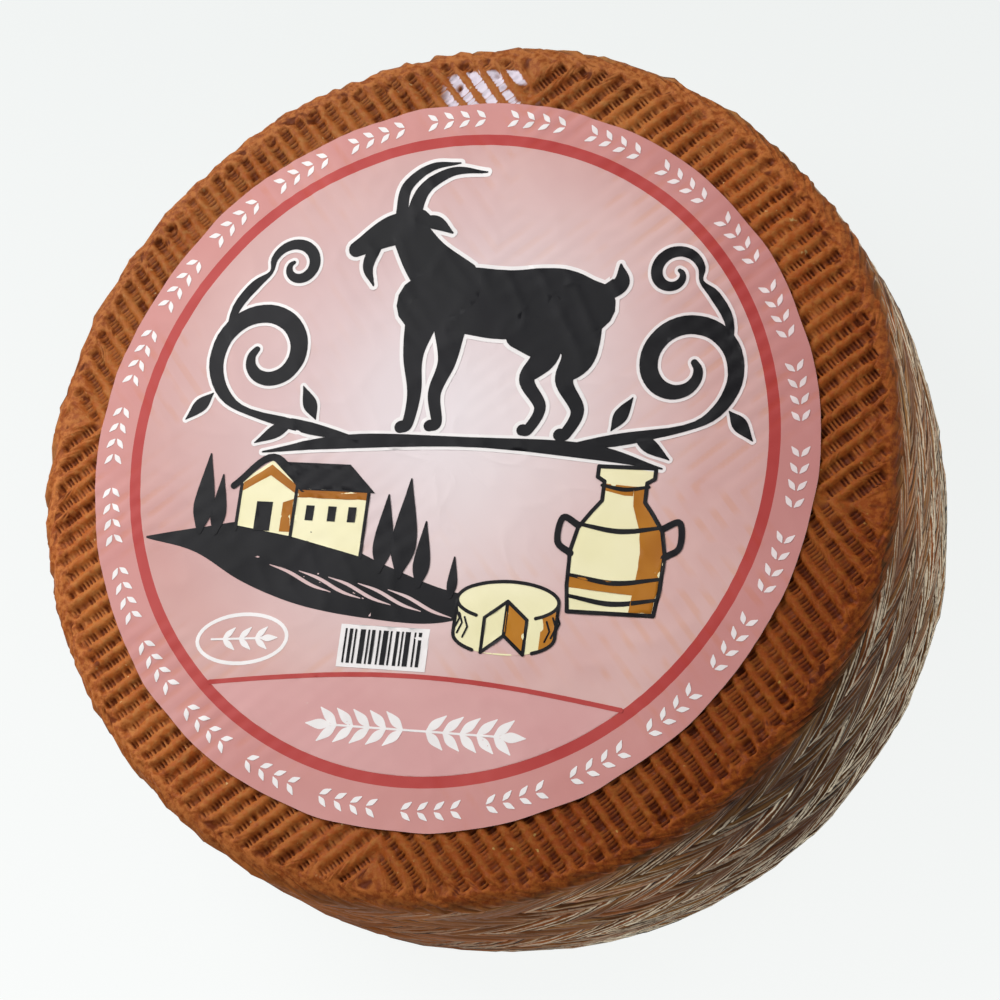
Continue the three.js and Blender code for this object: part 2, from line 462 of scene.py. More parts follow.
CELLS = (0.0, 0.13, 0.5, 0.87)  # where a row of the plait has its rows of points
round_top = np.linspace(row_first, 1.0, 7)[:-1]
round_base = np.linspace(FULL_ROWS, row_last, 5)
upright = (np.arange(1, FULL_ROWS)[:, None] + CELLS).ravel()
rows = np.concatenate([round_top, upright, round_base])[:, None]
zigzag = 1 - np.abs(rows % 2 - 1)
first_turn = np.interp(rows, [row_first, 1.0], [0.0, COLUMNS_A_ROW_TURNS - COLUMNS_AT_TOP])
turn = np.where(rows < 1, first_turn, zigzag * COLUMNS_A_ROW_TURNS - COLUMNS_AT_TOP)
base_roll = round(float(turn[-1, 0]))  # the base's columns are rolled on by this many to meet the side's

column = np.arange(columns)
even_angle = QUARTER_ANGLE + column * 2 * math.pi / columns
ribbed_angle = middle_angle + np.arcsin(beside / FACE_RADIUS)
leave_ribs = ease((rows - row_first) / (1.2 - row_first))
reach_base = ease((rows - FULL_ROWS - 0.2) / (row_last - FULL_ROWS - 0.2))
side_angle = even_angle + turn * 2 * math.pi / columns
rolled = np.roll(ribbed_angle, -base_roll) + np.where(column >= columns - base_roll, 2 * math.pi, 0.0)
side_angle = side_angle + (ribbed_angle - even_angle) * (1 - leave_ribs)
side_angle = side_angle * (1 - reach_base) + rolled * reach_base
angle_cells = (side_angle - QUARTER_ANGLE) / (2 * math.pi)
loose = np.sin(math.pi * np.clip((rows - row_first) / (row_last - row_first), 0, 1))
side_angle = side_angle + BLADE_WANDER * soft_noise(angle_cells * 48, rows * 1.3, 30, wrap=48) * loose

# %% Relief of the side
band = np.floor(rows)
in_band = rows - band
inside_row = np.sin(math.pi * in_band)
blade = column // COLUMNS_TO_A_BLADE
strand = column // (COLUMNS_TO_A_BLADE * BLADES_TO_A_STRAND)
across_strand = (column / (COLUMNS_TO_A_BLADE * BLADES_TO_A_STRAND)) % 1.0
blade_shape = -np.cos(2 * math.pi * column / COLUMNS_TO_A_BLADE)
blade_strength = random_for(blade + 311 * band, 31, 0.3, 1.35)
blade_lift = random_for(blade + 523 * band, 32, -0.24, 0.24) * inside_row
strand_lift = random_for(strand + 97 * band, 33, -0.22, 0.22) * inside_row
strand_shape = np.sin(math.pi * across_strand) ** 0.7 - 0.6

round_x = column / columns * 64
worn = ease(0.75 + 0.9 * soft_noise(round_x, rows * 1.1, 34, wrap=64))
border = np.exp(-((np.minimum(in_band, 1 - in_band) / 0.1) ** 2))
border = border * (0.75 + 0.35 * soft_noise(round_x * 4, rows * 3, 35, wrap=256))
in_print = ease((rows - row_first) / 0.45)
on_floor = ease((row_last - rows) / 0.6)

blade_relief = blade_shape * blade_strength * (0.4 + 0.6 * worn)
strand_relief = strand_shape * (0.5 + 0.5 * inside_row)
relief = BLADE_RELIEF * blade_relief + STRAND_RELIEF * strand_relief + blade_lift + strand_lift
relief = relief - ROW_BORDER_DEPTH * border
relief = relief * in_print * on_floor

seam_line = SEAM_ANGLE + 0.012 * soft_noise(rows * 1.5, 0 * rows, 36)
from_seam = np.angle(np.exp(1j * (side_angle - seam_line))) * WHEEL_RADIUS
seam = np.exp(-((from_seam / 1.3) ** 2)) * in_print * on_floor
relief = relief * (1 - 0.7 * seam) - 0.45 * seam

slow = soft_noise(angle_cells * 12, rows * 0.35, 37, wrap=12)
lump = soft_noise(angle_cells * 256, rows * 4.5, 38, wrap=256)
furrow = soft_noise(angle_cells * 64, rows * 7, 39, wrap=64)
grit = soft_noise(angle_cells * 480, rows * 8, 40, wrap=480)
rim = ease(1.35 - np.abs(rows - 0.66) / 0.5)
past_top = ease((rows - row_first) / 0.12)
relief = relief + 0.35 * slow * in_print + (0.5 * lump + 0.35 * grit - 0.35 * np.abs(furrow)) * rim * past_top
set_back = SIDE_SET_BACK * ease((rows - 0.8) / 0.5)
out_of_round = OFF_CENTRE * np.cos(side_angle - OFF_CENTRE_TO)
for direction, half_width, outwards in UNEVEN_PLACES:
    away = np.degrees(np.angle(np.exp(1j * (side_angle - math.radians(direction)))))
    out_of_round = out_of_round + outwards * np.exp(-((away / half_width) ** 2))
relief = relief + (out_of_round * in_print - set_back) * on_floor
side_r, side_z, side_out, side_rise = side_profile(rows)
side_r = side_r + relief * side_out
row_wander = ROW_WANDER * soft_noise(angle_cells * 14, rows * 0.5, 29, wrap=14)
side_z = side_z + relief * side_rise + row_wander * loose * in_print * on_floor
side_x, side_y = side_r * np.cos(side_angle), side_r * np.sin(side_angle)
print(f"{columns // COLUMNS_TO_A_BLADE} blades, relief from {relief.min():.2f} to {relief.max():.2f} mm")

# %% [markdown]
# ## One closed mesh
#
# Top, side and base are stacked into one grid from the top's inner ring down to the base's, and the two
# middles are closed with fans of triangles. The base's columns are rolled on by as many as the strands moved
# on their way down.


# %% Build the wheel
def stacked(top, side, base):
    """One array of rows from the top's inner ring to the base's: the top's rows from inside out, the side's
    without its first, which the top ends with, and without its last, then the base's. A part may be one
    number, or one for each row or column."""
    parts = ((top, top_z), (side, side_z), (base, base_z))
    top, side, base = (np.broadcast_to(part, like.shape) for part, like in parts)
    return np.vstack([top, side[1:-1], np.roll(base, -base_roll, axis=1)])


def inside_ring(start):
    """True for the columns whose first point lies on the circle where the grid starts, and for the first
    column past it on each side, whose point two quarters share."""
    return size_beside <= half_lines[half_lines >= start / math.sqrt(2)][0]


axes = ((top_x, side_x, base_x), (top_y, side_y, base_y), (top_z, side_z, base_z))
grid = np.stack([stacked(*parts) for parts in axes], axis=-1)
hubs = [[0, 0, wheel_height - 0.1], [0, 0, 0]]
top_ring = np.nonzero(inside_ring(GRID_START))[0]
base_ring = np.nonzero(np.roll(inside_ring(BASE_BOSS), -base_roll))[0]
wheel = ring_piece("goat_cheese_wheel", grid, hubs, top_ring, base_ring, "cheese_wheel")

# %% Attributes that the rind's material reads
# How deep a place lies in the side's relief, most at the row borders and the seam: the material paints shade
# there.
side_hollow = 0.46 - 0.34 * blade_relief - 0.16 * strand_relief + 0.25 * border + 0.4 * seam
side_hollow = side_hollow - (blade_lift + strand_lift) * 0.7
side_hollow = np.clip(side_hollow * in_print, 0, 1)
side_share = np.clip((rows - row_first) / (1.15 - row_first), 0, 1)
strand_angle = 2 * math.pi * column / columns
strand_x, strand_y = WHEEL_RADIUS * np.cos(strand_angle), WHEEL_RADIUS * np.sin(strand_angle)
strand_axes = (
    (top_x, strand_x, np.roll(strand_x, base_roll)),
    (top_y, strand_y, np.roll(strand_y, base_roll)),
    (row_first, rows, row_last),
)
strand_place = np.stack([stacked(*parts) for parts in strand_axes], axis=-1)
for name, values in (
    ("hollow", stacked(hollow, side_hollow, base_hollow)),
    ("side", stacked(0, side_share, ease((base_radius - 97) / 3.6))),
    ("bloom", stacked(bloom, 0, 0)),
    ("worn", stacked(0, np.clip(1 - worn + seam, 0, 1), 0)),
):
    add_attribute(wheel, name, np.append(values.ravel(), [0, 0]))
add_attribute(wheel, "strand", np.vstack([strand_place.reshape(-1, 3), np.zeros((2, 3))]))
weld(wheel)
work = bmesh.new()
work.from_mesh(wheel.data)
open_edges = sum(1 for edge in work.edges if not edge.is_manifold)
volume = work.calc_volume(signed=True)
work.free()
print(f"wheel: {count_triangles(wheel)} triangles, {open_edges} open edges, {volume * 1e6:.0f} ml")

# %% [markdown]
# ## The label
#
# The label is thin printed paper, pasted on the ribs while the rind was still soft. It follows them a little,
# and it has the fine creases of paper that dried on an uneven face. One function gives its height everywhere,
# so that the print can be laid on it. Its edge is a hair's breadth thick and waves up and down slightly.

# %% The label's surface
PAPER_THICKNESS = 0.16
UNDERSIDE_SLACK = 0.14  # the hidden underside hangs this much lower, so that it never comes through a crease
UNDERSIDE_ROWS = 26
LABEL_COLUMNS = 540
RING_OFFSET = 1.0  # the printed ring sits this far above the label's middle
RING_OUTER = 78.6
RING_INNER = 75.9
INNERMOST = 0.6  # radius of the innermost ring of points
LABEL_LEVEL = wheel_height + 0.36  # where the paper is neither swollen nor creased


def rib_print(x, y):
    """How the ribs below show in the paper: 1 over a groove and -1 over a rib, and less where the paper lies
    loose. The distance beside the quarter's middle line gives the rib's place."""
    wheel_x, wheel_y = x + label_centre[0], y + label_centre[1]
    angle = np.mod(np.arctan2(wheel_y, wheel_x) - QUARTER_ANGLE, math.pi / 2) - math.pi / 4
    radius = np.hypot(wheel_x, wheel_y)
    rib = np.cos(2 * math.pi * radius * np.sin(angle) / RIB_PITCH)
    return rib * ease(0.45 + 0.8 * soft_noise(x / 17, y / 17, 41)) * ease(radius / 30)


def paper_height(x, y):
    """Height of the paper over its middle: long swells, short creases and a faint print of the ribs below."""
    swell = 0.16 * soft_noise(x / 21, y / 21, 42) + 0.08 * soft_noise(x / 9.5, y / 9.5, 43)
    crease = 1 - np.abs(soft_noise((x + 0.6 * y) / 8, (y - 0.4 * x) / 18, 44))
    edge = ease((np.hypot(x, y) - label_radius + 7) / 7)
    edge_wave = 0.12 * soft_noise(np.arctan2(y, x) * 12, 0 * x, 45)
    fold = 1 - np.abs(soft_noise((x - 0.5 * y) / 13, (y + 0.3 * x) / 6, 47))
    pressed = 0.05 + 0.05 * ease((np.hypot(x, y) - 55) / 25)
    return swell + 0.13 * crease**5 + 0.09 * fold**7 - pressed * rib_print(x, y) + edge * edge_wave


def ring_limit(angle, radius):
    """Distance from the label's middle to a printed circle whose centre is RING_OFFSET above it."""
    return RING_OFFSET * np.sin(angle) + np.sqrt(radius**2 - (RING_OFFSET * np.cos(angle)) ** 2)


def blend_rows(start, end, count):
    """Rows at even steps from one radius to another, without the last. A radius may differ by column."""
    share = (np.arange(count) / count)[:, None]
    return start * (1 - share) + end * share


label_angle = np.arange(LABEL_COLUMNS) * 2 * math.pi / LABEL_COLUMNS
ragged = label_radius + 0.32 * soft_noise(label_angle / (2 * math.pi) * 60, 0 * label_angle, 46, wrap=60)
ring_starts, ring_ends = ring_limit(label_angle, RING_INNER), ring_limit(label_angle, RING_OUTER)
zones = [
    blend_rows(INNERMOST, ring_starts, 76),
    blend_rows(ring_starts, ring_ends, 3),
    blend_rows(ring_ends, ragged, 9),
    ragged[None, :],
]
zone_ends = np.cumsum([len(zone) for zone in zones])


def paper_grid(radius, drop):
    """Points of the paper at radii, all columns, lowered by drop."""
    x, y = radius * np.cos(label_angle), radius * np.sin(label_angle)
    z = LABEL_LEVEL + paper_height(x, y) - drop
    return np.stack([x + label_centre[0], y + label_centre[1], z], axis=-1)


under_r = blend_rows(ragged, INNERMOST, UNDERSIDE_ROWS)
under_drop = PAPER_THICKNESS + UNDERSIDE_SLACK * ease((label_radius - under_r) / 6)
label_grid = np.vstack([paper_grid(np.vstack(zones), 0.0), paper_grid(under_r, under_drop)])
middle = np.array([*label_centre, LABEL_LEVEL + float(paper_height(np.zeros(1), np.zeros(1))[0])])
label_hubs = np.array([middle, middle - [0, 0, PAPER_THICKNESS]])
around = np.arange(LABEL_COLUMNS)
label = ring_piece("printed_label", label_grid, label_hubs, around, around, "paper_label")
label.data.set_sharp_from_angle(angle=math.radians(50))
label_x, label_y = (np.vstack([label_grid.reshape(-1, 3), label_hubs])[:, :2] - label_centre).T
add_attribute(label, "rib_print", rib_print(label_x, label_y))

# %% Which ink each face of the label carries
face_row = np.repeat(np.arange(len(label_grid) - 1), LABEL_COLUMNS)
zone_of_face = np.where(face_row < zone_ends[0], 0, np.where(face_row < zone_ends[1], 1, 2))
zone_of_face = np.where(face_row >= zone_ends[3] - 1, 3, zone_of_face)
zone_of_face = np.concatenate([zone_of_face, np.zeros(LABEL_COLUMNS), np.full(LABEL_COLUMNS, 3)])
label.data.polygons.foreach_set("material_index", zone_of_face.astype(np.int32))
print(f"label: {count_triangles(label)} triangles in {len(zones)} zones")

# %% [markdown]
# ## Print on the label
#
# The print is a picture of a farm in black, white, cream and brown: a goat over scroll work, hills with a
# farmhouse and cypresses, and a milk churn beside a cheese. Each ink is one thin sheet of geometry that lies
# on the paper, which keeps its edges sharp at any size. A shape is drawn with strokes, as a brush would draw
# it: a smooth line through a few points, with a width at each of them. White strokes that are a little wider
# lie under the black ones and show as a white outline.


# %% Strokes and outlines
def smooth_through(values, steps):
    """A smooth curve through the values: between two of them, a cubic whose slopes are taken from the
    neighbours on both sides."""
    values = np.asarray(values, dtype=float)
    padded = np.vstack([2 * values[0] - values[1], values, 2 * values[-1] - values[-2]])
    t = (np.arange(steps) / steps)[None, :, None]
    p0, p1, p2, p3 = (padded[i : len(padded) - 3 + i, None, :] for i in range(4))
    bend = 2 * p1 + (p2 - p0) * t + (2 * p0 - 5 * p1 + 4 * p2 - p3) * t**2
    curve = 0.5 * (bend + (3 * p1 - p0 - 3 * p2 + p3) * t**3)
    return np.vstack([curve.reshape(-1, values.shape[1]), values[-1:]])


def stroke(*knots, grow=0.0, steps=10):
    """A closed outline round a brush stroke. Each knot is (x, y, width). grow makes it wider all round. The
    two sides are the line moved half a width to its left and right, joined by round ends."""
    line = smooth_through(knots, steps)
    place, half = line[:, :2], np.maximum(line[:, 2], 0.2) / 2 + grow
    slope = np.gradient(place, axis=0)
    slope = slope / np.linalg.norm(slope, axis=1)[:, None]
    left = np.stack([-slope[:, 1], slope[:, 0]], axis=-1)
    turn_round = np.linspace(math.pi / 2, -math.pi / 2, 9)[1:-1, None]
    start_cap = place[0] - half[0] * (np.cos(turn_round) * slope[0] + np.sin(turn_round) * left[0])
    end_cap = place[-1] + half[-1] * (np.cos(turn_round) * slope[-1] + np.sin(turn_round) * left[-1])
    upper, lower = place + half[:, None] * left, place - half[:, None] * left
    return np.vstack([upper, end_cap, lower[::-1], start_cap])


def volute(x, y, radius, start, turns, wide):
    """Knots of a scroll that winds in round (x, y). Its radius shrinks evenly to a fifth while its angle, in
    degrees, goes on from start, and the stroke swells to its width and thins out again."""
    t = np.linspace(0, 1, 15)
    angle = np.radians(start + 360 * turns * t)
    reach = radius * (1 - 0.8 * t)
    width = wide * (0.35 + 0.65 * np.sin(math.pi * t**0.75))
    return list(zip(x + reach * np.cos(angle), y + reach * np.sin(angle), width))


def oval(x, y, wide, high, lean=0.0, count=40):
    """A closed oval round (x, y), turned by lean."""
    a = np.arange(count) * 2 * math.pi / count
    px, py = wide / 2 * np.cos(a), high / 2 * np.sin(a)
    turned_x = px * math.cos(lean) - py * math.sin(lean)
    turned_y = px * math.sin(lean) + py * math.cos(lean)
    return np.stack([x + turned_x, y + turned_y], axis=-1)


def patch(*corners):
    """A closed outline with straight sides."""
    return np.array(corners, dtype=float)


def pen_line(*corners, wide=0.8):
    """Thin straight lines from corner to corner, each an outline of its own."""
    return [stroke((*a, wide), (*b, wide), steps=1) for a, b in zip(corners, corners[1:])]


def leaf(x, y, length, wide, direction, grow=0.0):
    """A leaf that starts at (x, y) and points in a direction given in degrees."""
    a = math.radians(direction)
    reach_x, reach_y = math.cos(a) * length, math.sin(a) * length
    widest = (x + 0.45 * reach_x, y + 0.45 * reach_y, wide)
    return stroke((x, y, 0.3), widest, (x + reach_x, y + reach_y, 0.3), grow=grow, steps=6)


# %% Sheets of ink
def times_round(points, loop):
    """How many times the closed loop runs round each point: its edges that cross the level of the point to
    the right of it, counted up where they rise and down where they fall."""
    start, end = loop, np.roll(loop, -1, axis=0)
    run = end - start
    px, py = points[:, :1], points[:, 1:]
    side = run[:, 0] * (py - start[:, 1]) - run[:, 1] * (px - start[:, 0])
    rises = (start[:, 1] <= py) & (end[:, 1] > py) & (side > 0)
    falls = (start[:, 1] > py) & (end[:, 1] <= py) & (side < 0)
    return rises.sum(axis=1) - falls.sum(axis=1)


def covered(points, outlines, holes):
    """True for the points that lie inside any outline and inside no hole."""
    inside = np.zeros(len(points), dtype=bool)
    for loop in outlines:
        inside |= times_round(points, loop) != 0
    for loop in holes:
        inside &= times_round(points, loop) == 0
    return inside


def ink_sheet(name, lift, outlines, holes, ink):
    """A thin closed sheet of ink, lift over the paper, that covers all outlines and no hole. The outlines'
    edges are cut into triangles together with a grid of points, so that the sheet follows the paper, and the
    triangles whose middle is covered are kept, above and, turned over, below."""
    spacing, ink_thickness = 1.1, 0.03
    loops = [*outlines, *holes]
    corners = np.vstack(loops)
    low, high = corners.min(axis=0), corners.max(axis=0)
    gx, gy = np.meshgrid(np.arange(low[0], high[0], spacing), np.arange(low[1], high[1], spacing))
    inner = np.stack([gx.ravel(), gy.ravel()], axis=-1)
    inner = inner[covered(inner, outlines, holes)]
    edges, first = [], 0
    for loop in loops:
        numbers = np.arange(len(loop))
        edges += np.stack([first + numbers, first + np.roll(numbers, -1)], axis=-1).tolist()
        first += len(loop)
    flat_points = [Vector(p) for p in np.vstack([corners, inner]).tolist()]
    found = delaunay_2d_cdt(flat_points, edges, [], 0, 1e-4)
    places, triangles = np.array([p[:] for p in found[0]]), np.array(found[2])
    triangles = triangles[covered(places[triangles].mean(axis=1), outlines, holes)]
    used, numbered = np.unique(triangles, return_inverse=True)
    top = numbered.reshape(-1, 3)
    x, y = places[used].T
    lifted = np.column_stack([places[used] + label_centre, LABEL_LEVEL + paper_height(x, y) + lift])
    count = len(lifted)
    sides = np.concatenate([top[:, [0, 1]], top[:, [1, 2]], top[:, [2, 0]]])
    shared = set(map(tuple, sides[:, ::-1].tolist()))
    rim_sides = [side for side in sides.tolist() if tuple(side) not in shared]
    walls = [[b, a, a + count, b + count] for a, b in rim_sides]
    all_points = np.vstack([lifted, lifted - [0, 0, ink_thickness]])
    all_faces = top.tolist() + (top[:, ::-1] + count).tolist() + walls
    piece = mesh_object(name, all_points, all_faces, "paper_label")
    piece.data.set_sharp_from_angle(angle=math.radians(50))
    piece.data.materials.append(ink)
    print(f"{name}: {count_triangles(piece)} triangles")


# %% The goat and the scroll work
GOAT_STROKES = (
    ((-12, 37, 14), (-4, 38, 16), (8, 37, 17), (20, 38, 16.5), (28, 37, 13)),  # trunk
    ((-6, 41, 15), (-13, 47.5, 11.5), (-18, 54, 9)),  # neck
    ((-17, 56.5, 8), (-23.5, 54.5, 7.6), (-31, 50, 4)),  # head
    ((-16.5, 57.5, 1.6), (-12, 57, 3.4), (-7.5, 54.5, 0.5)),  # ear
    ((-18, 59, 3.8), (-16, 65.5, 3.3), (-9.5, 70, 2.3), (-1, 70, 0.4)),  # near horn
    ((-21, 58.5, 3), (-20.5, 66, 2.8), (-15, 71, 2), (-8, 72.2, 0.4)),  # far horn
    ((-26.5, 50.5, 3.4), (-27.5, 45.5, 2.6), (-25.5, 41, 0.4)),  # beard
    ((-12, 34, 9), (-13, 24, 5), (-11.5, 15, 3.4), (-12, 7.5, 2.8), (-13.6, 6.4, 3)),  # front legs
    ((-5, 33, 9), (-4.5, 23, 4.6), (-6.5, 15, 3.2), (-5, 8, 2.6), (-6.6, 7, 2.8)),
    ((25, 36, 14), (27, 25.5, 9), (24.5, 19, 4.4), (28.5, 12, 3.2), (26.5, 6.5, 2.8), (25, 6, 3)),  # hind
    ((18, 34, 12), (19, 25, 7), (15.5, 19, 3.8), (19.5, 12.5, 2.8), (17.5, 7.2, 2.6), (16, 6.8, 2.8)),
    ((31, 40, 4), (35, 43, 4.2), (34.5, 47.5, 0.5)),  # tail
    ((12, 29.5, 6), (16, 27, 5)),  # udder
)
GOAT_SHIFT = 2.0
SCROLL_MIDDLE = 3.0
SCROLL_LEAVES = ((41, 7, 11, -32), (36, 7.5, 9, 62), (63, 13, 9, -48))  # x, y, length, direction
SCROLL_GROUND = ((-45, -1, 0.4), (-24, 2.4, 3.4), (6, 3.4, 2.4), (34, 2.4, 3.6), (52, -1, 0.4))


def moved(knots, middle_x, side=1):
    """The knots moved to the right by middle_x, after they are mirrored where side is -1."""
    return [(middle_x + side * x, y, width) for x, y, width in knots]


def goat(grow=0.0):
    """The outlines of a standing goat that looks to the left."""
    return [stroke(*moved(knots, GOAT_SHIFT), grow=grow) for knots in GOAT_STROKES]


def scrolls(grow=0.0):
    """Brush scrolls: on each side of the goat a stem that winds into a large volute, a small volute that
    branches off it and three leaves, and a long line for the goat to stand on."""
    big = [(24, 3, 0.4), (37, 5.2, 3.0)] + volute(51, 23, 14.5, -82, 1.3, 4.6)
    small = [(62, 26, 0.5), (60.5, 34.5, 2.2), (56.5, 40.5, 2.4)] + volute(46.5, 45.5, 6.8, -15, 1.15, 2.8)
    made = []
    for side in (-1, 1):
        made += [stroke(*moved(knots, SCROLL_MIDDLE, side), grow=grow, steps=4) for knots in (big, small)]
        for x, y, length, direction in SCROLL_LEAVES:
            turned = direction if side > 0 else 180 - direction
            made.append(leaf(SCROLL_MIDDLE + side * x, y, length, 3.4, turned, grow=grow))
    return made + [stroke(*SCROLL_GROUND, grow=grow)]


# %% The farm on the hills
# The dark ground is a long back with a hump, its lower edge rising to the right, and its thin gaps read as
# ploughed rows. The house has two cream walls, ochre shade under the eaves and black roofs, door and windows.
hill = stroke((-71, -23, 0.6), (-58, -23, 6), (-44, -25, 15), (-28, -29, 17), (-12, -33, 13), (4, -35.5, 8),
              (20, -34, 0.6), steps=12)
furrows = []
for i in range(5):
    x, y = -34 + 7.5 * i, -29.5 - 1.1 * i
    low_end = ((x + 6, y - 2.8, 0.75), (x + 11, y - 4.2, 0.2))
    furrows.append(stroke((x - 5, y + 1.5, 0.2), (x, y, 0.75), *low_end))
farm_walls = [
    patch((-49, -19), (-49, -8), (-42, -3), (-35, -8), (-35, -21)),
    patch((-35, -21), (-35, -9.5), (-17, -9.5), (-17, -25)),
]
farm_shade = [
    patch((-48.6, -8.6), (-42, -4), (-35.4, -8.6), (-35.4, -10.6), (-42, -6.6), (-48.6, -10.6)),
    patch((-34.6, -9.8), (-17.4, -9.8), (-17.4, -11.6), (-34.6, -11.6)),
    patch((-38, -20), (-38, -13), (-35.4, -12), (-35.4, -20)),
]
farm_lines = [
    stroke((-51, -9.5, 1.6), (-42, -2.2, 1.8), (-33.5, -9.5, 1.6), steps=8),
    patch((-41.5, -3.2), (-34, -9.8), (-15.5, -9.8), (-22.5, -3.2)),
    patch((-44.5, -20), (-44.5, -13), (-40.5, -13), (-40.5, -20)),
    *pen_line((-49, -9), (-49, -20)),
    *pen_line((-35, -9), (-35, -21)),
    *pen_line((-17, -9), (-17, -25)),
]
for x in (-31, -25.5, -20.5):
    farm_lines.append(patch((x - 1, -17), (x - 1, -13.4), (x + 1, -13.4), (x + 1, -17)))
cypresses = []
for x, y, high in ((-58, -21, 19), (-54, -21, 14), (-12, -28, 18), (-7, -29, 23), (-2, -31, 15), (6, -33, 9)):
    widest = (x + 0.2, y + high * 0.35, high * 0.27)
    cypresses.append(stroke((x, y, 1.4), widest, (x, y + high, 0.4), steps=8))

# %% The milk churn
CHURN_X = 44
CHURN_HALF = ((10, -35), (10.8, -29), (11, -21), (9.8, -15.5), (7, -11.5), (5, -9), (5, -4.5), (6.7, -3.5),
              (6.7, -1))
churn_left = [(CHURN_X - x, y) for x, y in CHURN_HALF]
churn = patch(*churn_left, *[(CHURN_X + x, y) for x, y in CHURN_HALF[::-1]])
churn_shade = [
    patch((48.2, -34.5), (49.2, -24), (48.6, -16), (46.4, -10), (46, -5.4), (48.6, -5.4), (48.6, -9),
          (50.6, -11.8), (53.4, -15.8), (54.5, -21), (54.3, -29), (53.5, -34.5)),  # side
    patch((39.3, -5), (39.3, -6.6), (44, -7.6), (46, -7.6), (46, -5.4)),  # under the lid
    patch((33.3, -26.8), (33.3, -29.4), (49, -30.6), (49, -28)),  # hoop
]
churn_lines = pen_line(*[tuple(corner) for corner in np.vstack([churn, churn[:1]])], wide=0.95)
for y in (-14.6, -26.6, -31.4):
    churn_lines.append(stroke((33.8, y, 0.8), (CHURN_X, y - 1.4, 1.2), (54.4, y, 0.8)))
churn_lines.append(stroke((38.5, -5.4, 0.7), (CHURN_X, -6.2, 1.0), (49.5, -5.4, 0.7)))
for side in (-1, 1):
    handle = ((9.8, -15, 1.6), (13.6, -13.4, 1.5), (14.2, -19, 1.5), (10.9, -21.6, 1.6))
    churn_lines.append(stroke(*moved(handle, CHURN_X, side)))

# %% The small cheese
# An oval top, a side with the plait's print as short slanting lines, and a wedge cut out at the front. The
# ovals have 40 points, counted from the right and round by the back.
CHEESE_X, CHEESE_Y, CHEESE_WIDE, CHEESE_DEEP = 20.0, -33.5, 24.0, 9.0
DOWN = np.array([0, -8.0])  # the height of its side

top_oval = oval(CHEESE_X, CHEESE_Y, CHEESE_WIDE, CHEESE_DEEP)
base_oval = top_oval + DOWN
wedge = ((0, 0), (-5, -0.455), (5, -0.455))
tip, left, right = (np.array([CHEESE_X + x, CHEESE_Y + y * CHEESE_DEEP]) for x, y in wedge)
low_tip, low_left, low_right = tip + DOWN, left + DOWN, right + DOWN
small_cheese = np.vstack([top_oval[:21], base_oval[20:], base_oval[:1]])
cheese_gap = patch(low_left, low_tip, low_right)
cheese_shade = [patch(tip, right, low_right, low_tip), np.vstack([top_oval[35:], base_oval[:34:-1]])]
cheese_lines = []
top_run, right_run = np.vstack([top_oval[34:], top_oval[:27]]), np.vstack([base_oval[34:], base_oval[:1]])
for run in (top_run, base_oval[20:27], right_run):
    cheese_lines.append(stroke(*[(x, y, 0.8) for x, y in run], steps=2))
for corners in (
    (top_oval[0], base_oval[0]),
    (top_oval[20], base_oval[20]),
    (left, tip, right),
    (left, low_left, low_tip, low_right, right),
    (tip, low_tip),
):
    cheese_lines += pen_line(*corners)
for number in (21, 22.5, 24, 36, 37.5, 39):
    a = number / 40 * 2 * math.pi
    x, y = CHEESE_X + CHEESE_WIDE / 2 * math.cos(a), CHEESE_Y + CHEESE_DEEP / 2 * math.sin(a)
    cheese_lines += pen_line((x, y - 1.6), (x + 0.9, y - 3.8), (x, y - 6.2), wide=0.45)

# %% The panel, the garland and the small marks
# The panel is the darker field at the bottom of the ring, under a low arc with a thin red line along it.
panel_turn = np.radians(np.linspace(229, 311, 40))
panel_reach = ring_limit(panel_turn, RING_INNER - 0.1)
bottom = np.stack([panel_reach * np.cos(panel_turn), panel_reach * np.sin(panel_turn)], axis=-1)
(left_x, left_y), (right_x, _) = bottom[0], bottom[-1]
arc_x = np.linspace(right_x, left_x, 40)[1:-1]
arc_y = left_y + 4.5 * np.sin(math.pi * ((arc_x - left_x) / (right_x - left_x)))
panel = np.vstack([bottom, np.stack([arc_x, arc_y], axis=-1)])
arc_knots = np.vstack([panel[39:], panel[:1]])[::3]
panel_line = stroke(*[(x, y, 1.1) for x, y in arc_knots], steps=4)


def garland(groups=26, pairs=4):
    """White sprigs round the outer band: groups of leaves in pairs, with a gap between the groups."""
    leaves = []
    for number in range(groups * pairs):
        degrees = (number // pairs + number % pairs * 0.78 / pairs) / groups * 360 + 8
        a = math.radians(degrees)
        reach = (RING_OUTER + label_radius) / 2 + 0.2 + RING_OFFSET * math.sin(a) * 0.5
        for side in (-1, 1):
            x, y = (reach + 0.35 * side) * np.array([math.cos(a), math.sin(a)])
            leaves.append(leaf(x, y, 2.7, 1.25, degrees + 90 - 38 * side))
    return leaves


def sprig(x, y, length, direction, pairs):
    """A stem with pairs of leaves and one at its tip."""
    a = math.radians(direction)
    step = np.array([math.cos(a), math.sin(a)]) * length / (pairs + 1)
    start = np.array([x, y])
    tip = start + step * pairs
    parts = [stroke((*start, 0.5), (*tip, 0.5), steps=4)]
    parts.append(leaf(*tip, length * 0.26, length * 0.1, direction))
    for i in range(1, pairs + 1):
        fork = start + step * (i - 0.3)
        for side in (-1, 1):
            parts.append(leaf(*fork, length * 0.24, length * 0.09, direction + 42 * side))
    return parts


def bar_row(low_x, high_x, low_y, high_y):
    """Upright bars whose widths and gaps follow two short rules that don't repeat together."""
    bars, x, number = [], low_x, 0
    while x < high_x:
        wide = (0.45, 0.8, 0.45, 1.2)[number % 4]
        bars.append(patch((x, low_y), (x, high_y), (x + wide, high_y), (x + wide, low_y)))
        x += wide + (0.6, 0.5, 0.9)[number % 3]
        number += 1
    return bars


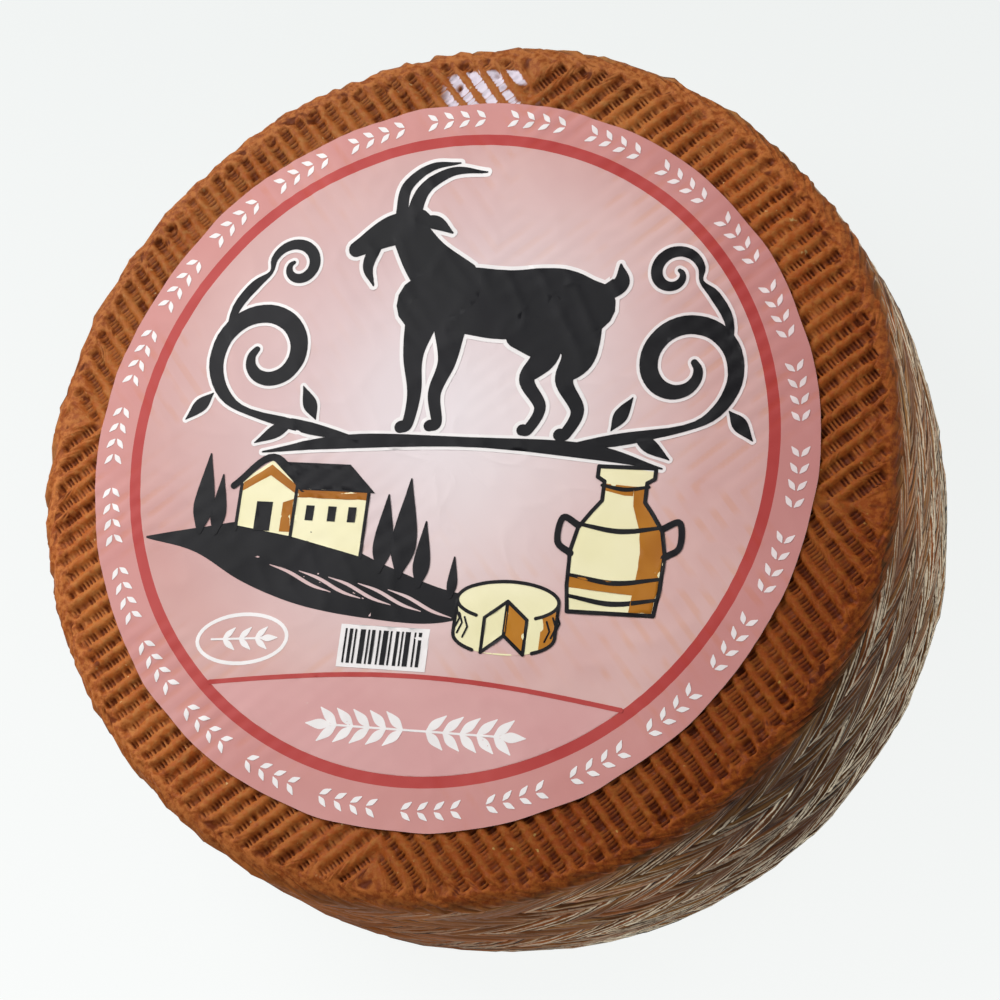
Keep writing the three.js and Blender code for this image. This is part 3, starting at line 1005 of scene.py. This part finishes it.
BADGE_X, BADGE_Y = -43.0, -46.0
white_marks = garland() + sprig(2, -64.5, 24, 180, 5) + sprig(2, -64.5, 24, 0, 5)
white_marks += sprig(BADGE_X - 7.5, BADGE_Y - 0.6, 16, 5, 3)
badge = oval(BADGE_X, BADGE_Y, 23, 12.5, lean=0.12)
badge_hole = oval(BADGE_X, BADGE_Y, 21.2, 10.7, lean=0.12)
bar_patch = patch((-19, -51), (-19, -41), (2.5, -41), (2.5, -51))

# %% [markdown]
# ## Materials
#
# Each material is named for what the real surface is. Colours are the ones a paint chart would give, as sRGB
# hex values, and one function turns them into the linear values that the shader wants.


# %% Helpers for materials
WEAK_SHINE = 0.12


def linear(hex_colour):
    """An sRGB hex colour as linear red, green, blue and full alpha."""
    channels = np.array([int(hex_colour[i : i + 2], 16) for i in (1, 3, 5)]) / 255
    lit = np.where(channels <= 0.04045, channels / 12.92, ((channels + 0.055) / 1.055) ** 2.4)
    return (*lit.tolist(), 1.0)


def add(tree, kind, inputs=None, **properties):
    """Adds a shader node and sets its own properties. Each input, by its name or number, is given a socket,
    which is joined to it, or a value, which may be a hex colour."""
    node = tree.nodes.new(kind)
    for name, value in properties.items():
        setattr(node, name, value)
    for name, value in (inputs or {}).items():
        if isinstance(value, bpy.types.NodeSocket):
            tree.links.new(value, node.inputs[name])
        else:
            node.inputs[name].default_value = linear(value) if isinstance(value, str) else value
    return node


def tree_of(*values):
    """The node tree of the first socket among the values. A node that works on them goes there too."""
    return next(value.id_data for value in values if isinstance(value, bpy.types.NodeSocket))


def blend(share, low, high, kind="MIX"):
    """A colour mixed from low to high by share."""
    inputs = {0: share, 6: low, 7: high}
    node = add(tree_of(share, low, high), "ShaderNodeMix", inputs, data_type="RGBA", blend_type=kind)
    return node.outputs[2]


def tinted(colour, tint):
    """A colour multiplied by a tint."""
    return blend(1.0, colour, tint, kind="MULTIPLY")


def spread(value, low, high, onto=(0.0, 1.0)):
    """Maps a value from between low and high to 0 to 1, or onto another range, and clamps it."""
    inputs = {"Value": value, "From Min": low, "From Max": high, "To Min": onto[0], "To Max": onto[1]}
    return add(value.id_data, "ShaderNodeMapRange", inputs).outputs["Result"]


def calc(operation, *terms):
    """One arithmetic step on values, each of them a socket or a number."""
    return add(tree_of(*terms), "ShaderNodeMath", dict(enumerate(terms)), operation=operation).outputs[0]


def times(first, *others):
    """The product of values."""
    for other in others:
        first = calc("MULTIPLY", first, other)
    return first


def vector_calc(operation, *terms, output="Value"):
    """One arithmetic step on vectors, each of them a socket or three numbers."""
    node = add(tree_of(*terms), "ShaderNodeVectorMath", dict(enumerate(terms)), operation=operation)
    return node.outputs[output]


def towards(place, direction, low, high):
    """0 where a place lies low metres from the origin in a direction, rising to 1 at high."""
    return spread(vector_calc("DOT_PRODUCT", place, direction), low, high)


def noise(place, scale, detail=2.0, roughness=0.5):
    """Noise with scale lumps to each unit of the coordinates."""
    inputs = {"Vector": place, "Scale": scale, "Detail": detail, "Roughness": roughness}
    return add(place.id_data, "ShaderNodeTexNoise", inputs).outputs["Fac"]


def grain(place, size, detail=2.0, roughness=0.5):
    """Noise whose lumps are about size millimetres, on coordinates in metres."""
    return noise(place, 1000 / size, detail, roughness)


def attribute(material, name, output="Fac"):
    """What the mesh stores for each point under a name."""
    return add(material.node_tree, "ShaderNodeAttribute", attribute_name=name).outputs[output]


def new_material(name):
    """An empty node material, and the socket that gives a place on the piece in metres."""
    material = bpy.data.materials.new(name)
    material.use_nodes = True
    material.node_tree.nodes.clear()
    return material, add(material.node_tree, "ShaderNodeTexCoord").outputs["Object"]


def finish_material(material, shader):
    """Joins the shader to the output."""
    add(material.node_tree, "ShaderNodeOutputMaterial", {"Surface": shader.outputs[0]})


def finish_surface(material, colour, roughness, height, strength, depth):
    """Gives the material a surface with a weak shine, and a fine relief up to depth metres deep."""
    tree = material.node_tree
    bump = add(tree, "ShaderNodeBump", {"Height": height, "Strength": strength, "Distance": depth})
    inputs = {"Base Color": colour, "Roughness": roughness, "Normal": bump.outputs[0]}
    inputs["Specular IOR Level"] = WEAK_SHINE
    finish_material(material, add(tree, "ShaderNodeBsdfPrincipled", inputs))


# %% [markdown]
# ## The rind
#
# The rind is pressed curd that was rubbed with oil while it aged. Its crests are orange-brown, painted
# shade makes it dark brown in the pits, and more painted shade darkens the half towards the camera, away
# from the lamp. On the side of the wheel the belt left a thin raised line along each blade of grass, and
# those lines are painted nearly white: partly old mould and dust, partly painted highlights. The relief's
# depth drives the painted shade, and the row number drives the change from top to side. The angle of a
# column, times the number of blades, gives each blade a pale line on its upper flank, a painted highlight,
# and a dark one on its lower flank, painted shade.

# %% Rind on the top
SHADE_PAINTED_TOWARDS = (0.84, -0.545, 0.0)
GREYER_TOWARDS = (-0.45, 0.9, 0.0)
SHADED_TOWARDS = (0.85, -0.53, 0.0)

rind, place = new_material("oiled pressed rind")
hollow_share, side_part, bloom_part, worn_part = (
    attribute(rind, name) for name in ("hollow", "side", "bloom", "worn")
)
strand_at = attribute(rind, "strand", "Vector")
strand_x_here, strand_y_here, row_here = add(rind.node_tree, "ShaderNodeSeparateXYZ", {0: strand_at}).outputs

blotches = grain(place, 16.0, detail=3.0)
mottles = grain(place, 2.8, detail=3.0, roughness=0.6)
crumbs = grain(place, 1.6, detail=4.0, roughness=0.65)
specks = grain(place, 1.9)
flat_streaks = vector_calc("MULTIPLY", place, (110.0, 110.0, 1300.0), output="Vector")
streaks = noise(flat_streaks, 1.0, detail=3.0)

crest_colour = blend(spread(blotches, 0.35, 0.65), "#a4521d", "#b1642a")
crest_colour = blend(spread(mottles, 0.56, 0.76), crest_colour, "#8a4218")
crest_colour = blend(spread(crumbs, 0.45, 0.75), crest_colour, "#b57a42")
crest_colour = blend(spread(specks, 0.72, 0.77), crest_colour, "#cfb07a")
from_axis = vector_calc("MULTIPLY", place, (1.0, 1.0, 0.0), output="Vector")
rim_share = times(spread(vector_calc("LENGTH", from_axis), 0.0955, 0.1), 0.75)
rim_colour = blend(spread(crumbs, 0.40, 0.57), "#8a4217", "#bd7038")
crest_colour = blend(rim_share, crest_colour, rim_colour)
# Painted shade: the deeper a place lies in a groove or a dip, the darker brown it is painted.
top_colour = blend(spread(hollow_share, 0.24, 0.68), crest_colour, "#6a2d07")

# Painted shade: a darker, browner copy of the top's colour, in which dark streaks run along the rim, covers
# the half towards the camera, away from the lamp.
painted_shade_colour = tinted(top_colour, "#c8ae74")
dulled = tinted(top_colour, "#e6eaf0")
streak_share = times(spread(side_part, 0.05, 0.35), spread(streaks, 0.44, 0.62))
bloom_share = times(spread(hollow_share, 0.14, 0.32), spread(bloom_part, 0.12, 0.4))
# A little darker and greyer towards the side away from the camera.
top_colour = blend(towards(place, GREYER_TOWARDS, 0.03, 0.08), top_colour, dulled)
painted_shade_share = towards(place, SHADE_PAINTED_TOWARDS, -0.02, 0.097)
top_colour = blend(painted_shade_share, top_colour, blend(streak_share, painted_shade_colour, "#38230f"))
top_colour = blend(bloom_share, top_colour, "#d8cdd8")

# %% Lines along the blades on the side
# A line runs where the cosine of its phase is lowest. The second and third lines lie two and three times as
# close as the first, so that here and there a blade shows finer ones. The pale lines are painted highlights
# on the blades' upper flanks, partly mould and dust, and the dark lines on their lower flanks are painted
# shade.
along_strand = vector_calc("MULTIPLY", strand_at, (1.0, 1.0, 2.2), output="Vector")
fibres = noise(along_strand, 0.8)
patches = noise(along_strand, 0.5)
dust = noise(along_strand, 0.16, detail=3.0)

slant = calc("SIGN", calc("SINE", times(row_here, math.pi)))
blade_turn = calc("ARCTAN2", strand_y_here, strand_x_here)
blade_sway = calc("MULTIPLY_ADD", patches, 2.4, calc("MULTIPLY_ADD", mottles, 1.2, -1.8))
blade_phase = calc("MULTIPLY_ADD", blade_turn, columns // COLUMNS_TO_A_BLADE, blade_sway)
upper_phase = calc("MULTIPLY_ADD", slant, -0.8, blade_phase)
lower_phase = calc("MULTIPLY_ADD", slant, 1.2, upper_phase)
second_phase = calc("MULTIPLY_ADD", upper_phase, 2.0, 2.2)
third_phase = calc("MULTIPLY_ADD", upper_phase, 3.0, 1.1)

mould_and_highlight_reach = towards(place, tuple(across_camera), -0.094, -0.054)
low_down = spread(row_here, 1.0, 5.0)
# Painted light: the rows that slant one way catch the lamp, so they show more pale lines than the others.
steep_row = calc("MULTIPLY_ADD", slant, -0.28, 0.72)
lines_show = calc("MAXIMUM", steep_row, spread(row_here, 4.0, 8.0))
more_low_down = calc("MULTIPLY_ADD", low_down, 0.3, 0.7)
unworn = calc("MAXIMUM", calc("SUBTRACT", 1.0, worn_part), spread(row_here, 6.5, 8.5))
mould_and_highlight = calc("MULTIPLY_ADD", low_down, 0.20, calc("MULTIPLY_ADD", fibres, 0.35, patches))
mould_and_highlight = times(spread(mould_and_highlight, 0.56, 0.72), mould_and_highlight_reach, lines_show, more_low_down, unworn)

first_line = spread(calc("COSINE", upper_phase), -0.90, -0.98)
second_line = times(spread(calc("COSINE", second_phase), -0.86, -0.975), spread(dust, 0.46, 0.60))
third_line = spread(calc("COSINE", third_phase), -0.80, -0.965)
third_line = times(third_line, spread(dust, 0.50, 0.40), spread(row_here, 3.0, 8.0), 0.75)
lines = calc("MAXIMUM", first_line, calc("MAXIMUM", second_line, third_line))
well_down = spread(side_part, 0.5, 0.95)
unbroken = calc("MULTIPLY_ADD", spread(crumbs, 0.38, 0.50), 0.6, 0.4)
glint = times(lines, mould_and_highlight, well_down, unbroken)

# Painted shade: dark lines along the blades' lower flanks, wider low on the side and towards the camera.
shaded_share = towards(place, SHADED_TOWARDS, 0.088, 0.104)
wide_shade_here = times(shaded_share, spread(row_here, 0.5, 2.0))
wide_shade_here = calc("MAXIMUM", wide_shade_here, spread(row_here, 3.5, 7.0))
lower_flank = calc("COSINE", lower_phase)
wide_shade = times(spread(lower_flank, -0.15, -0.75), wide_shade_here)
rubbed = times(spread(worn_part, 0.45, 0.95), 0.75)
shade = calc("MAXIMUM", spread(lower_flank, -0.66, -0.94), wide_shade)
shade = times(shade, well_down, calc("MULTIPLY_ADD", rubbed, -0.9, 1.0))

# %% Rind on the side, and the whole rind
side_colour = blend(spread(dust, 0.42, 0.60), "#a87a48", "#ae6430")
side_colour = blend(spread(fibres, 0.36, 0.58), "#623a1c", side_colour)
side_colour = blend(mould_and_highlight_reach, "#a8602a", side_colour)
side_colour = blend(rubbed, side_colour, "#7e4d2c")
side_colour = blend(shade, side_colour, "#1a0b04")
# Painted shade in the relief's valleys.
side_colour = blend(spread(hollow_share, 0.5, 0.95), side_colour, "#22130a")
side_colour = blend(shaded_share, side_colour, tinted(side_colour, "#a59f94"))
# Painted highlight, partly mould and dust: the pale lines along the blades.
side_colour = blend(glint, side_colour, "#ffeed0")
rind_colour = blend(spread(side_part, 0.28, 0.62), top_colour, side_colour)

fine_inputs = {0: side_part, 2: crumbs, 3: fibres}
fine_height = add(rind.node_tree, "ShaderNodeMix", fine_inputs, data_type="FLOAT").outputs[0]
finish_surface(rind, rind_colour, spread(crumbs, 0.3, 0.7, onto=(0.42, 0.7)), fine_height, 0.7, 0.0004)
wheel.data.materials.append(rind)

# %% [markdown]
# ## Paper and inks
#
# The label is coated paper with a weak shine, weak enough that the black ink stays dark under the lamp.
# Offset inks are thin, so each is the paper's own finish in another colour, and the rose tint is slightly
# uneven. The paper's pale middle is a painted sheen of the lamp, and its deeper side away from the lamp is
# painted shade.

# %% Coated paper and its inks
PALE_MIDDLE = (*(label_centre + [-8.0, 14.0]) * MM, LABEL_LEVEL * MM)
DEEPER_TOWARDS = (0.94, 0.34, 0.0)
ROSIER_TOWARDS = (-0.85, 0.5, 0.0)


def printed_paper(name, colour, second, roughness=0.42, pale_middle=None):
    """Coated paper printed in a colour that wanders slightly towards a second one. It is a little warmer
    over the grooves and deeper away from the lamp, as painted shade, and it may fade to a pale middle, a
    painted sheen of the lamp, which is then a little deeper rose towards one side."""
    reach = label_radius * MM
    material, place = new_material(name)
    tint = blend(spread(grain(place, 22.0, detail=3.0), 0.35, 0.7), colour, second)
    loose = spread(grain(place, 7.0, detail=1.0), 0.40, 0.58)
    warm_share = times(spread(attribute(material, "rib_print"), 0.0, 0.55), loose)
    tint = blend(warm_share, tint, tinted(tint, "#fff6ea"))
    if pale_middle:
        # A painted sheen of the lamp: pale in the middle, fading to the rose tint, then deeper rose to one
        # side.
        fade = spread(vector_calc("DISTANCE", place, PALE_MIDDLE), 0.12 * reach, 0.82 * reach)
        tint = blend(fade, pale_middle, tint)
        tint = blend(towards(place, ROSIER_TOWARDS, -0.01, 0.045), tint, tinted(tint, "#f1e3e2"))
    # Painted shade: deeper away from the lamp.
    tint = blend(towards(place, DEEPER_TOWARDS, 0.35 * reach, reach), tint, tinted(tint, "#ecdedf"))
    finish_surface(material, tint, roughness, grain(place, 0.35), 0.12, 0.00005)
    return material


field_paper = printed_paper("pale rose coated paper", "#d0a7a2", "#d7b2ac", pale_middle="#e5dddf")
band_paper = printed_paper("rose coated paper", "#c68984", "#cb928d")
panel_paper = printed_paper("paler rose coated paper", "#cf9a98", "#d3a29f")
red_ink = printed_paper("brick red ink", "#ad3d3b", "#b84c48")
bare_paper = printed_paper("bare paper", "#e0dad0", "#e8e3da", roughness=0.6)
white_paper = printed_paper("white ink", "#e8e3e1", "#f0ebe9")
cream = printed_paper("cream ink", "#eae2b4", "#f3ecc6")
ochre = printed_paper("ochre ink", "#b5761f", "#9a5a1c")
black = printed_paper("black ink", "#111114", "#17161a")

for material in (field_paper, red_ink, band_paper, bare_paper):
    label.data.materials.append(material)

# %% Lay the inks on the paper
OUTLINE = 0.95  # how much wider, all round, the white strokes are than the black ones over them
LOW_INK = 0.05
MIDDLE_INK = 0.09
HIGH_INK = 0.13
TOP_INK = 0.17

white_shapes = goat(OUTLINE) + scrolls(OUTLINE * 0.8) + [bar_patch]
black_shapes = goat() + scrolls() + bar_row(-17.8, 0.8, -50, -42) + farm_lines + cypresses
black_shapes += churn_lines + cheese_lines
for name, lift, outlines, holes, ink in (
    ("print_rose", LOW_INK, [panel], [], panel_paper),
    ("print_hill", LOW_INK, [hill], furrows, black),
    ("print_badge", LOW_INK, [badge], [badge_hole], white_paper),
    ("print_white", MIDDLE_INK, white_shapes, [], white_paper),
    ("print_white_marks", MIDDLE_INK, white_marks, [], white_paper),
    ("print_red_line", MIDDLE_INK, [panel_line], [], red_ink),
    ("print_cream", MIDDLE_INK, farm_walls + [churn, small_cheese], [cheese_gap], cream),
    ("print_ochre", HIGH_INK, farm_shade + churn_shade + cheese_shade, [], ochre),
    ("print_black", TOP_INK, black_shapes, [], black),
):
    ink_sheet(name, lift, outlines, holes, ink)

# %% [markdown]
# ## Table and light
#
# The photograph was taken on white card under a large soft lamp, which stands behind the wheel as the camera
# sees it. The card is nearly blown out, so most of its light is its own.

# %% White card
FLOOR_HALF = 4.0  # metres
CARD_GLOW = 0.93

floor_corners = [(x * FLOOR_HALF, y * FLOOR_HALF, 0.0) for x, y in ((-1, -1), (1, -1), (1, 1), (-1, 1))]
floor_mesh = bpy.data.meshes.new("white_card")
floor_mesh.from_pydata(floor_corners, [], [(0, 1, 2, 3)])
floor = bpy.data.objects.new("white_card", floor_mesh)
bpy.context.scene.collection.objects.link(floor)
card, card_place = new_material("white card")
# The card's glow is painted light, a little brighter towards the bottom of the picture.
card_colour = blend(towards(card_place, tuple(-picture_up), -0.15, 0.15), "#ecefee", "#fbfdfc")
card_paint = add(card.node_tree, "ShaderNodeBsdfDiffuse", {"Color": "#4f4f4f"})
card_glow = add(card.node_tree, "ShaderNodeEmission", {"Color": card_colour, "Strength": CARD_GLOW})
card_shaders = {0: card_paint.outputs[0], 1: card_glow.outputs[0]}
finish_material(card, add(card.node_tree, "ShaderNodeAddShader", card_shaders))
floor.data.materials.append(card)


# %% Lamps and world
def lamp(name, direction, distance, size, power):
    """A square soft lamp that stands in a direction from the wheel's middle and faces it."""
    data = bpy.data.lights.new(name, "AREA")
    data.shape = "SQUARE"
    data.size = size
    data.energy = power
    holder = bpy.data.objects.new(name, data)
    back = Vector(unit(direction))
    holder.location = Vector((0, 0, 0.06)) + back * distance
    holder.rotation_mode = "QUATERNION"
    holder.rotation_quaternion = (-back).to_track_quat("-Z", "Y")
    bpy.context.scene.collection.objects.link(holder)


lamp("key lamp", -0.75 * towards_camera - 0.1 * across_camera + 0.75 * up, 0.62, 0.45, 3.6)
lamp("side lamp", 0.2 * towards_camera + 0.9 * across_camera + 0.6 * up, 1.2, 0.6, 3.0)
world = bpy.data.worlds.new("white room")
world.use_nodes = True
sky_inputs = world.node_tree.nodes["Background"].inputs
sky_inputs["Color"].default_value = linear("#f6f7f8")
sky_inputs["Strength"].default_value = 0.4
bpy.context.scene.world = world
bpy.context.scene.view_settings.view_transform = "Standard"
